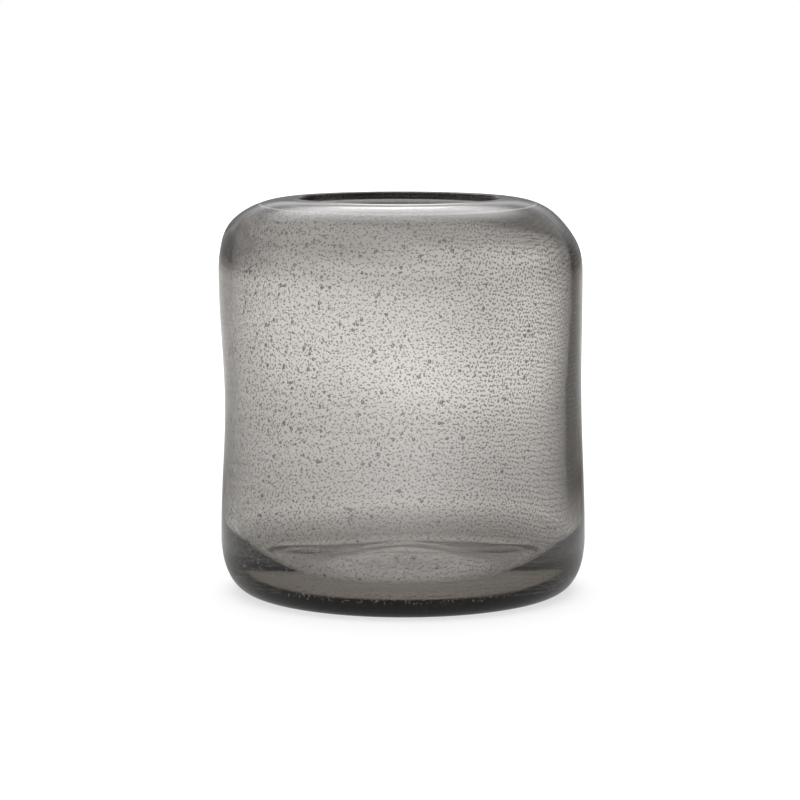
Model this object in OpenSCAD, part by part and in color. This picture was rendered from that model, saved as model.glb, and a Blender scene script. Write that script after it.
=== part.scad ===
// Mouth-blown cylinder vase of cased smoke glass, with a net of air bubbles trapped in its wall.
// Units are millimetres. The origin is the centre of the base, on the table, and +Z is up.
// The vase is two gathers of glass with the bubble net sealed between them, each a solid of revolution.

/* [Body] */
// Height from the table to the top of the lip
overall_h = 200; // [185:1:215]
// Widest diameter, low on the body
belly_d = 188; // [180:1:196]
// Diameter at the top of the wall, where the shoulder starts
upper_d = 187; // [178:1:196]
// How far the wall draws in at mid height, on the radius
waist_in = 1.3; // [0:0.1:3]
// Thickness of the glass in the wall
wall_t = 7; // [6:0.5:9]

/* [Shoulder and lip] */
// Height of the rounded shoulder
shoulder_h = 38; // [32:1:44]
// Squareness of the shoulder, where 2 is an ellipse
shoulder_power = 2.3; // [2:0.1:2.8]
// Diameter of the circle along the top of the lip
lip_d = 106; // [96:1:114]
// Thickness of the fire-polished lip
lip_t = 4; // [3:0.5:5]

/* [Foot and floor] */
// Outer diameter of the ground ring that the vase stands on
ring_d = 156; // [150:1:162]
// Width of the ground ring
ring_w = 6; // [4:1:8]
// Height of the rounded outer edge of the foot
foot_h = 27; // [22:1:30]
// Height of the hollow under the base, at its centre
punt_h = 13; // [8:1:14]
// Height of the floor inside, round the foot of its dome
floor_z = 10; // [9:1:12]
// Height of the top of the domed floor inside
dome_z = 22; // [21:1:25]
// Radius of the domed part of the floor
dome_r = 62; // [56:1:64]
// Height of the rounded inside corner between floor and wall
corner_h = 26; // [22:1:28]

/* [Gathers] */
// Share of the wall that the outer casing takes, from the outside
casing_share = 0.4; // [0.3:0.05:0.5]
// Share of the wall that the layer of bubbles takes
bubble_share = 0.2; // [0.1:0.05:0.25]
// Height at which the layer of bubbles starts, in the foot
net_low_z = 9; // [6:1:14]
// Depth below the lip at which the layer of bubbles ends, on the shoulder
net_top_drop = 6; // [5:1:9]
// Depth below the lip at which the inner gather ends
seam_drop = 2.5; // [2:0.5:4]

/* [Colours] */
// Colour of the outer casing
casing_colour = "dimgray"; // [dimgray, gray, slategray]
// Colour of the layer of bubbles
bubble_colour = "gainsboro"; // [gainsboro, whitesmoke, silver]
// Colour of the inner gather
gather_colour = "gray"; // [gray, dimgray, slategray]

/* [Hidden] */
around = 128;        // facets of each turned surface
steps = 14;          // points along each stretch of a skin
lip_steps = 10;      // points round the lip
belly_r = belly_d / 2;
upper_r = upper_d / 2;
lip_r = lip_d / 2;
ring_r = ring_d / 2;
punt_r = ring_r - ring_w;
shoulder_z = overall_h - shoulder_h;
floor_r = dome_r + 3;    // the inside corner starts just outside the dome

// A smooth hump of height 1 that falls to 0 at t = 1
function hump(t) = (1 + cos(180 * t)) / 2;

// A quarter of a superellipse, from the side (t = 0) round to the top (t = 1)
function quarter(t, power) = [pow(cos(90 * t), 2 / power), pow(sin(90 * t), 2 / power)];

// Radius of the outer skin of the wall, u running from 0 at the foot to 1 at the shoulder
function wall_r(u) = belly_r + (upper_r - belly_r) * u - waist_in * pow(sin(180 * u), 2);

// The outer skin, from the middle of the underside to the top of the lip
function outer_point(stretch, t) =
    stretch == 0 ? [punt_r * t, punt_h * hump(t)] :
    stretch == 1 ? [punt_r + ring_w * t, 0] :
    stretch == 2 ? [ring_r + (belly_r - ring_r) * sin(90 * t), foot_h * (1 - cos(90 * t))] :
    stretch == 3 ? [wall_r(t), foot_h + (shoulder_z - foot_h) * t] :
    [lip_r + (upper_r - lip_r) * quarter(t, shoulder_power)[0],
     shoulder_z + shoulder_h * quarter(t, shoulder_power)[1]];

// The inner skin, matched to the outer one point by point, from the middle of the floor to the lip
inner_foot_z = floor_z + corner_h;
function inner_point(stretch, t) =
    stretch == 0 ? [dome_r * t, floor_z + (dome_z - floor_z) * hump(t)] :
    stretch == 1 ? [dome_r + (floor_r - dome_r) * t, floor_z] :
    stretch == 2 ? [floor_r + (belly_r - wall_t - floor_r) * sin(90 * t), floor_z + corner_h * (1 - cos(90 * t))] :
    stretch == 3 ? [wall_r(t) - wall_t, inner_foot_z + (shoulder_z - inner_foot_z) * t] :
    [lip_r + (upper_r - wall_t - lip_r) * quarter(t, shoulder_power)[0],
     shoulder_z + (shoulder_h - lip_t) * quarter(t, shoulder_power)[1]];

// The surface that lies a given share of the way from the outer skin to the inner one
function skin(share) = concat(
    [for (stretch = [0 : 4], i = [0 : steps - 1])
        let (t = i / steps)
        outer_point(stretch, t) * (1 - share) + inner_point(stretch, t) * share],
    [outer_point(4, 1) * (1 - share) + inner_point(4, 1) * share]);

// The part of a skin from one of its points to another, and the same points the other way round
function part_of(points, first, last) = [for (i = [first : last]) points[i]];
function turned_back(points) = [for (i = [len(points) - 1 : -1 : 0]) points[i]];

// The first point of a skin that is past a height, counted from the foot
function rise_to(points, z, i) = points[i][1] >= z ? i : rise_to(points, z, i + 1);

// Half circle of the lip, from the outer skin round to the inner one
lip_round = [for (i = [1 : lip_steps - 1])
    let (a = 90 + 180 * i / lip_steps)
    [lip_r + lip_t / 2 * cos(a), overall_h - lip_t / 2 + lip_t / 2 * sin(a)]];

outer_skin = skin(0);
inner_skin = skin(1);
casing_face = skin(casing_share);
net_face = skin(casing_share + bubble_share);
last = 5 * steps;
foot_start = 2 * steps;
net_low = rise_to(casing_face, net_low_z, foot_start);
net_top = rise_to(casing_face, overall_h - lip_t / 2 - net_top_drop, foot_start);
seam = rise_to(casing_face, overall_h - lip_t / 2 - seam_drop, foot_start);

module turned(profile) {
    rotate_extrude($fn = around) polygon(profile);
}

// The second gather: the whole outside of the vase, the foot ring, the shoulder and the lip
module outer_casing() {
    color(casing_colour, 0.6)
        turned(concat(outer_skin, lip_round, turned_back(part_of(inner_skin, seam, last)),
            turned_back(part_of(casing_face, 0, seam))));
}

// The net of air bubbles: a thin seeded layer of the wall, shut in on every side
module bubble_layer() {
    color(bubble_colour, 0.6)
        turned(concat(part_of(casing_face, net_low, net_top), turned_back(part_of(net_face, net_low, net_top))));
}

// The first gather: the cup inside, with the bubble layer let into its outer face
module inner_gather() {
    color(gather_colour, 0.6)
        turned(concat(part_of(casing_face, 0, net_low), part_of(net_face, net_low, net_top),
            part_of(casing_face, net_top, seam), turned_back(part_of(inner_skin, 0, seam))));
}

outer_casing();
bubble_layer();
inner_gather();
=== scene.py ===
"""Looks for the mouth-blown glass vase: cased smoke glass with a net of real air bubbles in its wall.

Everything is in metres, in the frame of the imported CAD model. The vase is turned about +Z, from the same
outline as the CAD model, and then nudged out of true the way a hand-blown piece is.
"""

import math
import random

import bpy
import numpy as np
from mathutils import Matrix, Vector


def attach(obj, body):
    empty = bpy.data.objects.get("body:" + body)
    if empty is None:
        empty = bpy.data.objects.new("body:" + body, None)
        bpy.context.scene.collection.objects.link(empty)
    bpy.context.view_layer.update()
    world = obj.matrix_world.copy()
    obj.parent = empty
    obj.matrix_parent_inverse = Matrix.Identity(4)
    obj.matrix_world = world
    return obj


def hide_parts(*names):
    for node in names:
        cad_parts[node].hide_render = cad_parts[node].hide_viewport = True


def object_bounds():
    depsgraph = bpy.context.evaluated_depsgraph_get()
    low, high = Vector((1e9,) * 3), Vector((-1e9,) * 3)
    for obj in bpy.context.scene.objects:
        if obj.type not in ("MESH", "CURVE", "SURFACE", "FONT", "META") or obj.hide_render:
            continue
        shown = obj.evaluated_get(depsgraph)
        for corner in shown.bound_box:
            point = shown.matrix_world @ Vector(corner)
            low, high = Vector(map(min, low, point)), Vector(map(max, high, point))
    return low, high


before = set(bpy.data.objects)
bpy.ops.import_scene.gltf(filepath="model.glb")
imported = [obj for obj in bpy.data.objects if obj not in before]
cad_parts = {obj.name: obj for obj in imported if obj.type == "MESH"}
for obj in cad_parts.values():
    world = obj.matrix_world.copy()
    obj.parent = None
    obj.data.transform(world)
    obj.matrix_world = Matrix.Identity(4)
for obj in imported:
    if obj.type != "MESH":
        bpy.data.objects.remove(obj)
cad_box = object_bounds()

MM = 0.001
(LOW_X, _, LOW_Z), (HIGH_X, _, HIGH_Z) = cad_box

# ---------------------------------------------------------------- outline, as in the CAD model
OVERALL_H = HIGH_Z - LOW_Z
BELLY_R = (HIGH_X - LOW_X) / 2
UPPER_R = BELLY_R - 0.5 * MM
WAIST_IN = 1.3 * MM
WALL_T = 7 * MM
SHOULDER_H = 38 * MM
SHOULDER_POWER = 2.3
LIP_R = 53 * MM
LIP_T = 4 * MM
RING_R = 78 * MM
PUNT_R = 72 * MM
FOOT_H = 27 * MM
PUNT_H = 13 * MM
FLOOR_Z = 10 * MM
DOME_Z = 22 * MM
DOME_R = 62 * MM
FLOOR_R = 65 * MM
CORNER_H = 26 * MM
CASING_SHARE = 0.4      # where the two gathers meet, from the outer skin (0) to the inner one (1)
NET_SHARE = 0.5         # the middle of the layer of bubbles
FUSE_GAP = 0.003        # what keeps the two fused faces apart, as a share of the wall
SEAM_DROP = 2.5 * MM    # how far below the lip the inner gather ends
SHOULDER_Z = OVERALL_H - SHOULDER_H

PUNT, RING, FOOT, WALL, SHOULDER = range(5)
STEPS = {PUNT: 30, RING: 4, FOOT: 24, WALL: 44, SHOULDER: 44}
LIP_STEPS = 20
AROUND = 320


def hump(t):
    """A smooth hump that is 1 at t = 0 and 0 at t = 1."""
    return (1 + math.cos(math.pi * t)) / 2


def quarter(t):
    """A quarter of the shoulder's superellipse, from the side round to the top."""
    a = math.pi / 2 * t
    power = 2 / SHOULDER_POWER
    return max(math.cos(a), 0) ** power, math.sin(a) ** power


def wall_r(u):
    return BELLY_R + (UPPER_R - BELLY_R) * u - WAIST_IN * math.sin(math.pi * u) ** 2


def outer_point(stretch, t):
    """(radius, height) on the outer skin, from the middle of the underside to the top of the lip."""
    a = math.pi / 2 * t
    if stretch == PUNT:
        return PUNT_R * t, PUNT_H * hump(t)
    if stretch == RING:
        return PUNT_R + (RING_R - PUNT_R) * t, 0.0
    if stretch == FOOT:
        return RING_R + (BELLY_R - RING_R) * math.sin(a), FOOT_H * (1 - math.cos(a))
    if stretch == WALL:
        return wall_r(t), FOOT_H + (SHOULDER_Z - FOOT_H) * t
    across, up = quarter(t)
    return LIP_R + (UPPER_R - LIP_R) * across, SHOULDER_Z + SHOULDER_H * up


def inner_point(stretch, t):
    """(radius, height) on the inner skin, matched to the outer one point by point."""
    a = math.pi / 2 * t
    inner_foot_z = FLOOR_Z + CORNER_H
    if stretch == PUNT:
        return DOME_R * t, FLOOR_Z + (DOME_Z - FLOOR_Z) * hump(t)
    if stretch == RING:
        return DOME_R + (FLOOR_R - DOME_R) * t, FLOOR_Z
    if stretch == FOOT:
        return FLOOR_R + (BELLY_R - WALL_T - FLOOR_R) * math.sin(a), FLOOR_Z + CORNER_H * (1 - math.cos(a))
    if stretch == WALL:
        return wall_r(t) - WALL_T, inner_foot_z + (SHOULDER_Z - inner_foot_z) * t
    across, up = quarter(t)
    return LIP_R + (UPPER_R - WALL_T - LIP_R) * across, SHOULDER_Z + (SHOULDER_H - LIP_T) * up


def skin_point(share, stretch, t):
    """(radius, height, share) at a share of the way from the outer skin to the inner one."""
    outer, inner = outer_point(stretch, t), inner_point(stretch, t)
    return tuple(o + (i - o) * share for o, i in zip(outer, inner)) + (share,)


def skin(share):
    """A whole skin, from the axis to the lip, as (radius, height, share)."""
    points = []
    for stretch, steps in STEPS.items():
        points += [skin_point(share, stretch, i / steps) for i in range(steps)]
    return points + [skin_point(share, SHOULDER, 1.0)]


# ---------------------------------------------------------------- the hand-blown shape

SHRINK = 1.0            # mm taken off the radius, so the swells stay inside the CAD box
STEADY_FOOT = 20 * MM   # height below which the swells fade out


def swell(z, middle, width):
    return math.exp(-((z - middle) / width) ** 2)


def hand_blown(r, z, share, angle):
    """Where a point of the true turned shape lies on the real, slightly uneven vase."""
    u = z / OVERALL_H
    lean_x = (0.9 - 1.9 * u) * MM - 1.7 * MM * swell(z, 188 * MM, 10 * MM)
    lean_y = -0.5 * MM * swell(z, 120 * MM, 60 * MM) * (1 - u)
    # slow swells in the outline, and slow changes in the thickness of the wall
    outer_wave = 0.16 * math.sin(2 * angle + 0.7 + 5 * u) + 0.10 * math.sin(3 * angle - 1.1 - 9 * u)
    inner_wave = 0.30 * math.sin(2 * angle - 0.9 - 4 * u) + 0.22 * math.sin(3 * angle + 2.0 + 7 * u)
    waist = -0.55 * swell(z, 95 * MM, 38 * MM) * (1 + math.cos(angle - math.pi))
    wave = outer_wave * (1 - share) + inner_wave * share + waist - SHRINK
    # none of it reaches the axis or the foot ring, so the vase still stands flat
    r += wave * MM * min(r / BELLY_R, 1.0) * min(z / STEADY_FOOT, 1.0)
    return (r * math.cos(angle) + lean_x, r * math.sin(angle) + lean_y, z)


# ---------------------------------------------------------------- meshes

def add_object(name, mesh):
    piece = bpy.data.objects.new(name, mesh)
    bpy.context.scene.collection.objects.link(piece)
    return piece


def turned_piece(name, outline, fused):
    """A closed solid turned from an outline whose first and last points are on the axis.

    fused says, for each stretch between two points, whether the glass goes on unbroken past it.
    """
    verts, faces, flags, sharp = [], [], [], []
    angles = [2 * math.pi * i / AROUND for i in range(AROUND)]
    verts.append(hand_blown(*outline[0], 0.0))
    for r, z, share in outline[1:-1]:
        verts += [hand_blown(r, z, share, a) for a in angles]
    verts.append(hand_blown(*outline[-1], 0.0))
    top = len(verts) - 1

    def ring(row, i):
        return 1 + (row - 1) * AROUND + i % AROUND

    for row in range(len(outline) - 1):
        for i in range(AROUND):
            if row == 0:
                faces.append((0, ring(1, i + 1), ring(1, i)))
            elif row == len(outline) - 2:
                faces.append((top, ring(row, i), ring(row, i + 1)))
            else:
                faces.append((ring(row, i), ring(row, i + 1), ring(row + 1, i + 1), ring(row + 1, i)))
            flags.append(1.0 if fused[row] else 0.0)
        if row and fused[row] != fused[row - 1]:
            sharp.append(row)
    mesh = bpy.data.meshes.new(name)
    mesh.from_pydata(verts, [], faces)
    mesh.polygons.foreach_set("use_smooth", [True] * len(faces))
    mesh.attributes.new("fused", "FLOAT", "FACE").data.foreach_set("value", flags)
    sharp_rings = {(row - 1) * AROUND + 1 for row in sharp}
    for edge in mesh.edges:
        a, b = sorted(edge.vertices)
        start = 1 + (a - 1) // AROUND * AROUND
        if a and start in sharp_rings and b < start + AROUND:
            edge.use_edge_sharp = True
    mesh.update()
    return add_object(name, mesh)


def rise_to(points, z, start):
    """The first point from start on that is at least as high as z."""
    return next(i for i in range(start, len(points)) if points[i][1] >= z)


FOOT_START = STEPS[PUNT] + STEPS[RING]
outer_skin, inner_skin = skin(0.0), skin(1.0)
casing_face = skin(CASING_SHARE - FUSE_GAP / 2)
gather_face = skin(CASING_SHARE + FUSE_GAP / 2)
SEAM = rise_to(casing_face, OVERALL_H - LIP_T / 2 - SEAM_DROP, FOOT_START)


def lip_round():
    points = []
    for i in range(1, LIP_STEPS):
        a = math.pi / 2 + math.pi * i / LIP_STEPS
        points.append((LIP_R + LIP_T / 2 * math.cos(a), OVERALL_H - LIP_T / 2 + LIP_T / 2 * math.sin(a),
                       i / LIP_STEPS))
    return points


def casing_piece():
    """The second gather: the outside, the foot ring, the shoulder and the lip."""
    open_side = outer_skin + lip_round() + inner_skin[:SEAM - 1:-1]
    closed_side = casing_face[SEAM::-1]
    outline = open_side + closed_side
    fused = [i >= len(open_side) - 1 for i in range(len(outline) - 1)]
    return turned_piece("blown_casing", outline, fused)


def gather_piece():
    """The first gather: the cup inside."""
    closed_side = gather_face[:SEAM]
    open_side = inner_skin[SEAM - 1::-1]
    outline = closed_side + open_side
    fused = [i < len(closed_side) for i in range(len(outline) - 1)]
    return turned_piece("blown_gather", outline, fused)


# ---------------------------------------------------------------- air bubbles

NET_AROUND = 290         # bubbles in one turn of the net
NET_PITCH = 2.5 * MM     # distance between its rows, along the wall
NET_LOW_Z = 9 * MM
NET_TOP_DROP = 4.5 * MM
NET_PARTS = ("foot", "lower", "middle", "upper", "shoulder")
# where the net sagged while the glass was soft: angle, height, depth, and spread in angle and height
SAGS = ((-0.80, 172 * MM, 13 * MM, 0.42, 34 * MM), (-0.55, 48 * MM, 10 * MM, 0.36, 30 * MM),
        (1.9, 150 * MM, 9 * MM, 0.5, 40 * MM), (3.6, 60 * MM, 8 * MM, 0.6, 40 * MM))
BUBBLE_SIZE = (0.13, 0.18)      # radius, as a share of the pitch
BUBBLE_TALL = (0.9, 1.1)        # height, as a share of that radius
BUBBLE_WIDE, BUBBLE_DEEP = 1.15, 0.8
NEAT, LOOSE = 0.10, 0.40        # how far bubbles stray, in pitches: neat side, and what the far side adds
SEEDS = 440
SEED_SIZE = (0.55 * MM, 0.85 * MM)
SEED_TALL = (1.0, 1.35)
SEED_DEEP = 0.75
SEED_HEIGHTS = (1.5, 1.3)       # the beta distribution of their heights, from the foot to the shoulder
SEED_SCATTERED = 0.5            # the share that lies anywhere round the vase; the rest gather on one side
SEED_CLUSTER = (-2.4, 0.7)      # that side: angle and spread
PATH_STEPS = 400                # in each stretch of the wall, to measure the rows of the net along it
BUBBLE_BALL, SEED_BALL = (6, 4), (16, 10)       # sides and bands


def net_path():
    """Points along the middle of the bubble layer, a row apart, from the foot to the shoulder."""
    fine = []
    for stretch in (FOOT, WALL, SHOULDER):
        fine += [skin_point(NET_SHARE, stretch, i / PATH_STEPS) for i in range(PATH_STEPS)]
    fine = [p for p in fine if NET_LOW_Z <= p[1] <= OVERALL_H - NET_TOP_DROP]
    rows, gone = [], 0.0
    for a, b in zip(fine, fine[1:]):
        step = math.hypot(b[0] - a[0], b[1] - a[1])
        if gone <= 0:
            rows.append((a, (b[0] - a[0]) / step, (b[1] - a[1]) / step))
            gone += NET_PITCH
        gone -= step
    return rows


def ball(sides, rings):
    """A unit ball as points and faces: rings bands of sides, with a fan at each pole."""
    points = [(0.0, 0.0, -1.0)]
    for j in range(1, rings):
        polar = math.pi * j / rings - math.pi / 2
        for i in range(sides):
            a = 2 * math.pi * (i + j % 2 / 2) / sides
            points.append((math.cos(polar) * math.cos(a), math.cos(polar) * math.sin(a), math.sin(polar)))
    points.append((0.0, 0.0, 1.0))
    last = len(points) - 1
    faces = []
    for i in range(sides):
        n = (i + 1) % sides
        faces.append((0, 1 + n, 1 + i))
        faces.append((last, last - sides + i, last - sides + n))
        for j in range(rings - 2):
            low, high = 1 + j * sides, 1 + (j + 1) * sides
            faces.append((low + i, low + n, high + n, high + i))
    return np.array(points), faces


def bubbles_piece(name, places, sides, rings):
    """One piece holding a bubble at each place: (centre, outward, upward, sizes sideways, up and out)."""
    points, faces = ball(sides, rings)
    verts, all_faces = [], []
    for k, (centre, out, up, size) in enumerate(places):
        side = up.cross(out)
        axes = np.array([side * size[0], up * size[1], out * size[2]])
        verts.append(np.array(centre) + points[:, [0, 2, 1]] @ axes)    # the swap turns the faces inwards
        all_faces += [tuple(k * len(points) + i for i in face) for face in faces]
    mesh = bpy.data.meshes.new(name)
    mesh.from_pydata(np.concatenate(verts).tolist(), [], all_faces)
    mesh.polygons.foreach_set("use_smooth", [True] * len(all_faces))
    mesh.update()
    return add_object(name, mesh)


def bubble_place(row, angle, size):
    """Where a bubble sits in the wall, and how it is turned."""
    (r, z, share), dr, dz = row
    centre = Vector(hand_blown(r, z, share, angle))
    up = Vector((dr * math.cos(angle), dr * math.sin(angle), dz)).normalized()
    out = Vector((dz * math.cos(angle), dz * math.sin(angle), -dr)).normalized()
    return centre, out, up, size


def sagged(angle, z):
    """How far the net has sagged at a place on the wall."""
    drop = 0.0
    for middle, height, depth, wide, tall in SAGS:
        turn = (angle - middle + math.pi) % (2 * math.pi) - math.pi
        drop += depth * math.exp(-(turn / wide) ** 2 - ((z - height) / tall) ** 2)
    return drop


def between_rows(rows, level):
    """The row of the net at a level that needn't be whole."""
    low, part = int(level), level - int(level)
    (a, ar, az), (b, br, bz) = rows[low], rows[low + 1]
    middle = tuple(p + (q - p) * part for p, q in zip(a, b))
    return middle, ar + (br - ar) * part, az + (bz - az) * part


def net_places(rng):
    """The net: staggered rows that climb a little, sag in places and wander, more on one side of the vase."""
    rows = net_path()
    places = []
    for k in range(len(rows)):
        for i in range(NET_AROUND):
            turn = i + k / 2
            angle = 2 * math.pi * turn / NET_AROUND
            loose = NEAT + LOOSE * (1 - math.cos(angle)) / 2
            angle += rng.gauss(0, loose) * 2 * math.pi / NET_AROUND
            level = k - sagged(angle, rows[k][0][1]) / NET_PITCH + rng.gauss(0, loose)
            size_draw, tall_draw = rng.uniform(*BUBBLE_SIZE), rng.uniform(*BUBBLE_TALL)
            if not 0 <= level < len(rows) - 1:
                continue
            # a little larger at the sides of the vase, most of all on the neat side
            larger = 0.95 + 0.10 * math.cos(angle) + 0.2 * math.cos(angle) ** 2
            size = NET_PITCH * size_draw * larger
            size = (size * BUBBLE_WIDE, size * tall_draw, size * BUBBLE_DEEP)
            places.append(bubble_place(between_rows(rows, level), angle, size))
    return places


def seed_places(rng):
    """The large seeds: anywhere in the wall, but more of them on one side."""
    rows = net_path()
    places = []
    for _ in range(SEEDS):
        row = rows[min(int(len(rows) * rng.betavariate(*SEED_HEIGHTS)), len(rows) - 1)]
        size = rng.uniform(*SEED_SIZE)
        scattered = rng.random() < SEED_SCATTERED
        angle = rng.uniform(0, 2 * math.pi) if scattered else rng.gauss(*SEED_CLUSTER)
        places.append(bubble_place(row, angle, (size, size * rng.uniform(*SEED_TALL), size * SEED_DEEP)))
    return places


# ---------------------------------------------------------------- materials

GLASS_IOR = 1.5
SMOKE = (0.40, 0.33, 0.24, 1)   # 1 minus each of these, times the density, is what a metre of glass absorbs
SMOKE_DENSITY = 50.0
RIPPLE_SCALE, RIPPLE_DETAIL = 28.0, 2.0
RIPPLE_STRENGTH, RIPPLE_DEPTH = 0.25, 0.6 * MM


def new_material(name):
    material = bpy.data.materials.new(name)
    material.use_nodes = True
    nodes = material.node_tree.nodes
    nodes.clear()
    return material, nodes, material.node_tree.links


def clear_glass(nodes):
    glass = nodes.new("ShaderNodeBsdfPrincipled")
    glass.inputs["Base Color"].default_value = (1, 1, 1, 1)
    glass.inputs["Roughness"].default_value = 0.0
    glass.inputs["IOR"].default_value = GLASS_IOR
    glass.inputs["Transmission Weight"].default_value = 1.0
    return glass


def smoke_glass(name):
    """Clear polished glass outside and inside, with nothing to see where the two gathers are fused."""
    material, nodes, links = new_material(name)
    out = nodes.new("ShaderNodeOutputMaterial")
    glass = clear_glass(nodes)
    ripple = nodes.new("ShaderNodeTexNoise")
    ripple.inputs["Scale"].default_value = RIPPLE_SCALE
    ripple.inputs["Detail"].default_value = RIPPLE_DETAIL
    coords = nodes.new("ShaderNodeTexCoord")
    links.new(coords.outputs["Object"], ripple.inputs["Vector"])
    bump = nodes.new("ShaderNodeBump")
    bump.inputs["Strength"].default_value = RIPPLE_STRENGTH
    bump.inputs["Distance"].default_value = RIPPLE_DEPTH
    links.new(ripple.outputs["Fac"], bump.inputs["Height"])
    links.new(bump.outputs["Normal"], glass.inputs["Normal"])
    through = nodes.new("ShaderNodeBsdfTransparent")
    fused = nodes.new("ShaderNodeAttribute")
    fused.attribute_name = "fused"
    mix = nodes.new("ShaderNodeMixShader")
    links.new(fused.outputs["Fac"], mix.inputs["Fac"])
    links.new(glass.outputs[0], mix.inputs[1])
    links.new(through.outputs[0], mix.inputs[2])
    links.new(mix.outputs[0], out.inputs["Surface"])
    volume = nodes.new("ShaderNodeVolumeAbsorption")
    volume.inputs["Color"].default_value = SMOKE
    volume.inputs["Density"].default_value = SMOKE_DENSITY
    links.new(volume.outputs[0], out.inputs["Volume"])
    return material


def bubble_wall(name):
    """The glass round a bubble of air: its faces look into the air, as on any wall of the glass."""
    material, nodes, links = new_material(name)
    out = nodes.new("ShaderNodeOutputMaterial")
    glass = clear_glass(nodes)
    links.new(glass.outputs[0], out.inputs["Surface"])
    return material


# ---------------------------------------------------------------- studio

# The camera sees plain white. Through the glass and in it, the studio has the soft levels below: its lights,
# and on the floor painted light and shade.
BACKDROP = 1.5          # what a level of 1 stands for
# four soft pools of light round the vase: how deep the gaps between them are, and which side is brighter
GAP_DEPTH = 0.45
GAP_TO_RIGHT = 0.4
FRONT_BIAS = 0.25
# the sky, against the sine of the elevation: strip lights low down all round, and a dim ceiling
SKY_GLOW = ((0.0, 0.2), (0.1, 0.25), (0.25, 0.6), (0.4, 0.3), (0.6, 0.15), (1.0, 0.25))
SKY_TINT = (0.96, 0.965, 1.0, 1.0)
# the big soft box high behind the vase, which lights the near shoulder
SOFT_BOX = 1.9
SOFT_BOX_RISE = math.radians(52)
SOFT_BOX_EDGE = ((0.86, 0.0), (0.97, 1.0))      # against the cosine of the angle from its middle
# the floor's painted light and shade, seen through the glass: a painted shadow round the vase and a painted
# pool of light brightest about a metre out, against the distance from the vase as a share of its reach
FLOOR_REACH = 4.0
FLOOR_PAINTED_LIGHT_AND_SHADE = ((0.0, 0.15), (0.025, 0.25), (0.05, 0.48), (0.15, 0.65), (0.25, 0.9), (0.4, 0.8), (0.6, 0.5),
              (1.0, 0.25))
PAINTED_POOLS_START = ((0.02, 0.0), (0.12, 1.0))        # where on the floor the painted pools of light begin to show
FLOOR_LIFT = 0.66       # how much of the white of the floor, as the camera sees it, needs no lamp
FAR_WHITE = ((0.08, 0.0), (0.25, 0.5))          # what is added to that away from the vase
FLOOR_GREY = (0.42, 0.42, 0.42, 1)              # the part of the floor that takes the shadow
DISC_RADIUS, DISC_SIDES = 5.0, 96               # the floor is a flat disc
DISC_DROP = 0.2 * MM                            # keeps it clear of the foot ring
LAMP_SIZE, LAMP_HEIGHT, LAMP_POWER = 3.0, 2.4, 60

CAMERA_PLACE = (-1 * MM, -1452 * MM, 284.7 * MM)
CAMERA_AIM = (-1 * MM, 0, 96.7 * MM)
LENS, SENSOR_WIDTH = 129.1, 36.0                # in millimetres, as the camera has them


def maths(nodes, links, operation, *values):
    """A math node on numbers or sockets, as its output."""
    node = nodes.new("ShaderNodeMath")
    node.operation = operation
    for socket, value in zip(node.inputs, values):
        if isinstance(value, (int, float)):
            socket.default_value = value
        else:
            links.new(value, socket)
    return node.outputs[0]


def curve_of(nodes, links, value, points):
    """A smooth grey ramp through (position, level) points, all from 0 to 1."""
    ramp = nodes.new("ShaderNodeValToRGB")
    ramp.color_ramp.interpolation = "EASE"
    elements = ramp.color_ramp.elements
    elements[0].position, elements[1].position = points[0][0], points[-1][0]
    for position, _ in points[1:-1]:
        elements.new(position)
    for element, (_, level) in zip(elements, points):
        element.color = (level, level, level, 1)
    links.new(value, ramp.inputs[0])
    return ramp.outputs[0]


def camera_sees(nodes, links, seen, otherwise):
    """One shader where the camera looks straight at it, and another through the glass and for all light."""
    path = nodes.new("ShaderNodeLightPath")
    mix = nodes.new("ShaderNodeMixShader")
    links.new(path.outputs["Is Camera Ray"], mix.inputs["Fac"])
    links.new(otherwise.outputs[0], mix.inputs[1])
    links.new(seen.outputs[0], mix.inputs[2])
    return mix.outputs[0]


def pools(nodes, links, x, y):
    """How bright the studio is in a direction over the floor: four soft pools of light, the front one
    brightest. On the floor the same pools are painted into its glow.
    """
    angle = maths(nodes, links, "ARCTAN2", y, x)
    twice = maths(nodes, links, "SINE", maths(nodes, links, "MULTIPLY", angle, 2.0))
    gap = maths(nodes, links, "POWER", twice, 2.0)
    turned = maths(nodes, links, "COSINE", maths(nodes, links, "SUBTRACT", angle, math.pi / 4))
    depth = maths(nodes, links, "MULTIPLY_ADD", turned, GAP_TO_RIGHT, GAP_DEPTH)
    round_about = maths(nodes, links, "SUBTRACT", 1.0, maths(nodes, links, "MULTIPLY", gap, depth))
    front = maths(nodes, links, "MULTIPLY_ADD", maths(nodes, links, "SINE", angle), -FRONT_BIAS, 1.0)
    return maths(nodes, links, "MULTIPLY", round_about, front)


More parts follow.
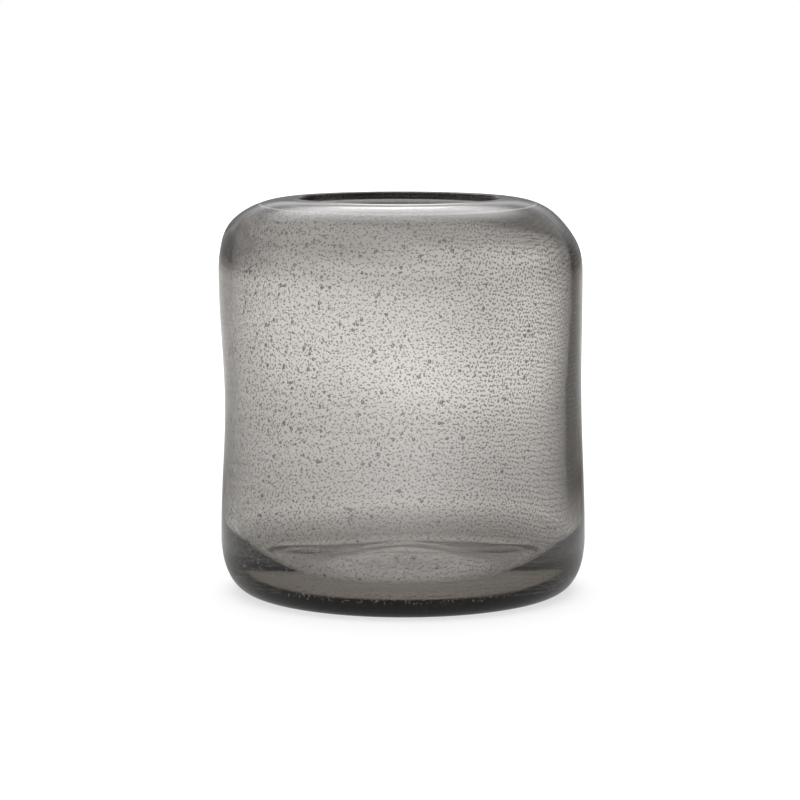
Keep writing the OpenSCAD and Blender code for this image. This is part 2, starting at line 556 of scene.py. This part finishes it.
def floor_material():
    """A white floor. Seen through the glass it glows with painted light and shade instead, the soft fall-off
    that a lit studio table has: a painted shadow round the vase and painted pools of light further out.
    """
    material, nodes, links = new_material("pale_floor")
    out = nodes.new("ShaderNodeOutputMaterial")
    matte = nodes.new("ShaderNodeBsdfDiffuse")
    matte.inputs["Color"].default_value = FLOOR_GREY
    painted_glow = nodes.new("ShaderNodeEmission")
    coords = nodes.new("ShaderNodeTexCoord")
    split = nodes.new("ShaderNodeSeparateXYZ")
    links.new(coords.outputs["Object"], split.inputs[0])
    x, y = split.outputs["X"], split.outputs["Y"]
    reach = maths(nodes, links, "SQRT", maths(nodes, links, "ADD", maths(nodes, links, "MULTIPLY", x, x),
                                              maths(nodes, links, "MULTIPLY", y, y)))
    share = maths(nodes, links, "DIVIDE", reach, FLOOR_REACH)
    # painted shade near the vase and a painted ring of light further out, given as glow
    painted_falloff = curve_of(nodes, links, share, FLOOR_PAINTED_LIGHT_AND_SHADE)
    # the four pools of light, painted into the floor's glow away from the vase
    painted_pools_uneven = maths(nodes, links, "SUBTRACT", pools(nodes, links, x, y), 1.0)
    painted_pools_evened = maths(nodes, links, "MULTIPLY_ADD", painted_pools_uneven, curve_of(nodes, links, share, PAINTED_POOLS_START), 1.0)
    level = maths(nodes, links, "MULTIPLY", painted_falloff, painted_pools_evened)
    # the painted glow that the glass shows in place of a lit floor
    links.new(maths(nodes, links, "MULTIPLY", level, BACKDROP), painted_glow.inputs["Strength"])
    lift = nodes.new("ShaderNodeEmission")
    far_lift = curve_of(nodes, links, share, FAR_WHITE)
    links.new(maths(nodes, links, "ADD", far_lift, FLOOR_LIFT), lift.inputs["Strength"])
    seen = nodes.new("ShaderNodeAddShader")
    links.new(matte.outputs[0], seen.inputs[0])
    links.new(lift.outputs[0], seen.inputs[1])
    links.new(camera_sees(nodes, links, seen, painted_glow), out.inputs["Surface"])
    return material


def floor():
    mesh = bpy.data.meshes.new("floor")
    angles = [2 * math.pi * i / DISC_SIDES for i in range(DISC_SIDES)]
    points = [(DISC_RADIUS * math.cos(a), DISC_RADIUS * math.sin(a), 0) for a in angles]
    mesh.from_pydata(points, [], [tuple(range(DISC_SIDES))])
    mesh.materials.append(floor_material())
    piece = add_object("floor", mesh)
    piece.location.z = -DISC_DROP


def overhead_lamp():
    """A big soft lamp that lights the floor as the camera sees it, and doesn't show in the glass."""
    light = bpy.data.lights.new("overhead", "AREA")
    light.size = LAMP_SIZE
    light.energy = LAMP_POWER
    lamp = bpy.data.objects.new("overhead", light)
    bpy.context.scene.collection.objects.link(lamp)
    lamp.location = (0, 0, LAMP_HEIGHT)
    lamp.visible_glossy = False
    lamp.visible_transmission = False


def surroundings():
    """A white studio, brightest where four soft boxes stand round the vase, and dim overhead."""
    world = bpy.data.worlds.new("studio")
    bpy.context.scene.world = world
    world.use_nodes = True
    nodes, links = world.node_tree.nodes, world.node_tree.links
    nodes.clear()
    out = nodes.new("ShaderNodeOutputWorld")
    soft = nodes.new("ShaderNodeBackground")
    soft.inputs["Color"].default_value = SKY_TINT
    bright = nodes.new("ShaderNodeBackground")
    bright.inputs["Color"].default_value = (1, 1, 1, 1)
    coords = nodes.new("ShaderNodeTexCoord")
    split = nodes.new("ShaderNodeSeparateXYZ")
    links.new(coords.outputs["Generated"], split.inputs[0])
    x, y, z = split.outputs
    rise = curve_of(nodes, links, maths(nodes, links, "MAXIMUM", z, 0.0), SKY_GLOW)
    level = maths(nodes, links, "MULTIPLY", rise, pools(nodes, links, x, y))
    facing = nodes.new("ShaderNodeVectorMath")
    facing.operation = "DOT_PRODUCT"
    facing.inputs[1].default_value = (0.0, math.cos(SOFT_BOX_RISE), math.sin(SOFT_BOX_RISE))
    links.new(coords.outputs["Generated"], facing.inputs[0])
    edge = curve_of(nodes, links, facing.outputs["Value"], SOFT_BOX_EDGE)
    box = maths(nodes, links, "MULTIPLY", edge, SOFT_BOX)
    links.new(maths(nodes, links, "MULTIPLY_ADD", level, BACKDROP, box), soft.inputs["Strength"])
    links.new(camera_sees(nodes, links, bright, soft), out.inputs["Surface"])


def camera():
    data = bpy.data.cameras.new("camera")
    data.sensor_width = SENSOR_WIDTH
    data.lens = LENS
    cam = bpy.data.objects.new("camera", data)
    bpy.context.scene.collection.objects.link(cam)
    cam.location = CAMERA_PLACE
    cam.rotation_euler = (Vector(CAMERA_AIM) - cam.location).to_track_quat("-Z", "Y").to_euler()
    bpy.context.scene.camera = cam


def light_paths():
    scene = bpy.context.scene
    scene.view_settings.view_transform = "Standard"
    scene.view_settings.look = "None"
    cycles = scene.cycles
    cycles.max_bounces = 32
    cycles.transmission_bounces = 32
    cycles.glossy_bounces = 16
    cycles.diffuse_bounces = 3
    cycles.transparent_max_bounces = 32
    cycles.caustics_refractive = True
    cycles.caustics_reflective = True
    cycles.use_denoising = True


# ---------------------------------------------------------------- build

rng = random.Random(7)
casing = casing_piece()
casing.data.materials.append(smoke_glass("casing_smoke_glass"))
gather = gather_piece()
gather.data.materials.append(smoke_glass("gather_smoke_glass"))
air = bubble_wall("bubble_wall")
places = net_places(rng)
per_part = math.ceil(len(places) / len(NET_PARTS))
nets = [bubbles_piece("bubble_net_" + part, places[i * per_part:(i + 1) * per_part], *BUBBLE_BALL)
        for i, part in enumerate(NET_PARTS)]
seeds = bubbles_piece("large_seeds", seed_places(rng), *SEED_BALL)
for piece in nets + [seeds]:
    piece.data.materials.append(air)

for piece, slot in [(casing, "casing_glass"), (gather, "gather_glass"), (seeds, "bubble_glass")] + \
        [(net, "bubble_glass") for net in nets]:
    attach(piece, "root")
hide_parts("outer_casing")
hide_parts("inner_gather")
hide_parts("bubble_layer")

floor()
surroundings()
overhead_lamp()
camera()
light_paths()
